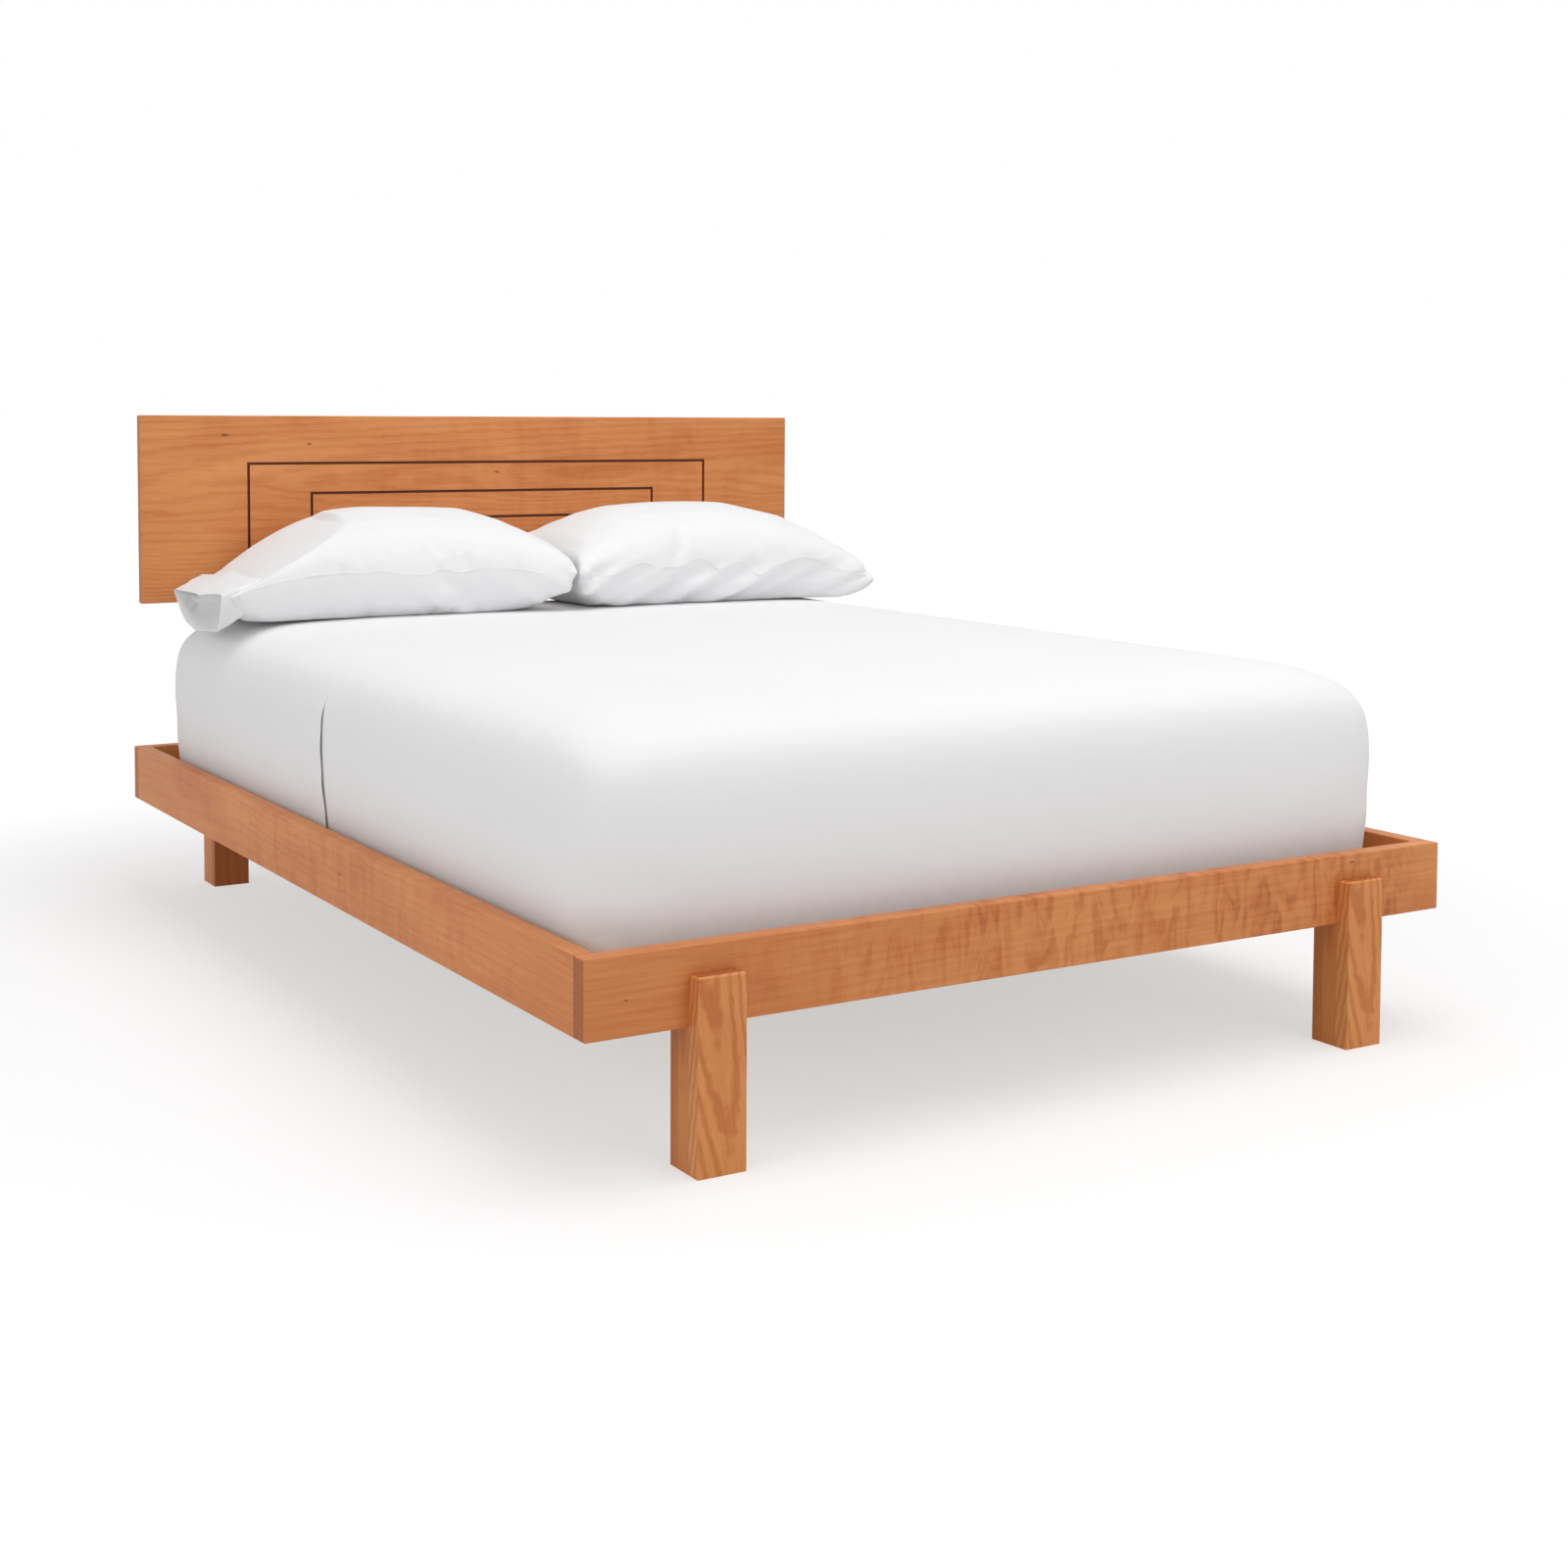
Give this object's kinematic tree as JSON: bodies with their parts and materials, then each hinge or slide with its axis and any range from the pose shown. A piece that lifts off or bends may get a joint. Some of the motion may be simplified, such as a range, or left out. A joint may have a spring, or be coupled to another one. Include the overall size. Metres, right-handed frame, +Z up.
{
  "type": "platform bed",
  "caption": "Low platform bed in solid cherry with forked legs that grip the end rails, a grooved floating headboard, a slatted deck, a mattress in a fitted sheet and pillows.",
  "frame": {"origin": "on the floor at the centre of the footprint", "axes": "+X to the right seen from the foot, +Y from foot to head, +Z up"},
  "size_m": [1.607, 2.208, 1.027],
  "materials": {
    "cherry": "satin",
    "deck_wood": "matte",
    "slat_wood": "matte",
    "bracket_steel": "satin",
    "screw_steel": "satin",
    "foot_plastic": "matte",
    "ticking": "matte",
    "sheet_cotton": "matte",
    "pillow_cotton": "matte"
  },
  "bodies": {
    "bed_frame": {"foot_rail": "cherry", "head_rail": "cherry", "side_rail_left": "cherry", "side_rail_right": "cherry", "headboard_panel": "cherry", "leg_foot_left_outer_board": "cherry", "leg_foot_left_core_board": "cherry", "leg_foot_left_inner_board": "cherry", "leg_foot_right_outer_board": "cherry", "leg_foot_right_core_board": "cherry", "leg_foot_right_inner_board": "cherry", "leg_head_left_outer_board": "cherry", "leg_head_left_core_board": "cherry", "leg_head_left_post": "cherry", "leg_head_right_outer_board": "cherry", "leg_head_right_core_board": "cherry", "leg_head_right_post": "cherry", "slat_cleat_left": "deck_wood", "slat_cleat_right": "deck_wood", "centre_beam": "deck_wood", "centre_leg_foot_end": "deck_wood", "centre_leg_head_end": "deck_wood", "slat_01": "slat_wood", "slat_02": "slat_wood", "slat_03": "slat_wood", "slat_04": "slat_wood", "slat_05": "slat_wood", "slat_06": "slat_wood", "slat_07": "slat_wood", "slat_08": "slat_wood", "slat_09": "slat_wood", "slat_10": "slat_wood", "slat_11": "slat_wood", "slat_12": "slat_wood", "slat_13": "slat_wood", "beam_hanger_foot": "bracket_steel", "beam_hanger_head": "bracket_steel", "corner_bracket_foot_left": "bracket_steel", "corner_bracket_foot_right": "bracket_steel", "corner_bracket_head_left": "bracket_steel", "corner_bracket_head_right": "bracket_steel", "leg_bolts": "screw_steel", "corner_bolts": "screw_steel", "headboard_screws": "screw_steel", "centre_leg_bolts": "screw_steel"},
    "mattress": {"mattress": "ticking", "fitted_sheet": "sheet_cotton"},
    "pillow_left": {"pillow_left": "pillow_cotton", "pillowcase_left_end": "pillow_cotton"},
    "pillow_right": {"pillow_right": "pillow_cotton"},
    "levelling_foot_foot_end": {"levelling_foot_foot_end": "foot_plastic"},
    "levelling_foot_head_end": {"levelling_foot_head_end": "foot_plastic"}
  },
  "joints": [
    {"name": "mattress_lift", "type": "slide", "parent": "bed_frame", "child": "mattress", "axis": [0, 0, 1], "range_m": [0, 0.3]},
    {"name": "pillow_left_lift", "type": "slide", "parent": "mattress", "child": "pillow_left", "axis": [0, 0, 1], "range_m": [0, 0.25]},
    {"name": "pillow_right_lift", "type": "slide", "parent": "mattress", "child": "pillow_right", "axis": [0, 0, 1], "range_m": [0, 0.25]},
    {"name": "levelling_foot_foot_end_turn_in", "type": "slide", "parent": "bed_frame", "child": "levelling_foot_foot_end", "axis": [0, 0, 1], "range_m": [0, 0.012]},
    {"name": "levelling_foot_head_end_turn_in", "type": "slide", "parent": "bed_frame", "child": "levelling_foot_head_end", "axis": [0, 0, 1], "range_m": [0, 0.012]}
  ]
}
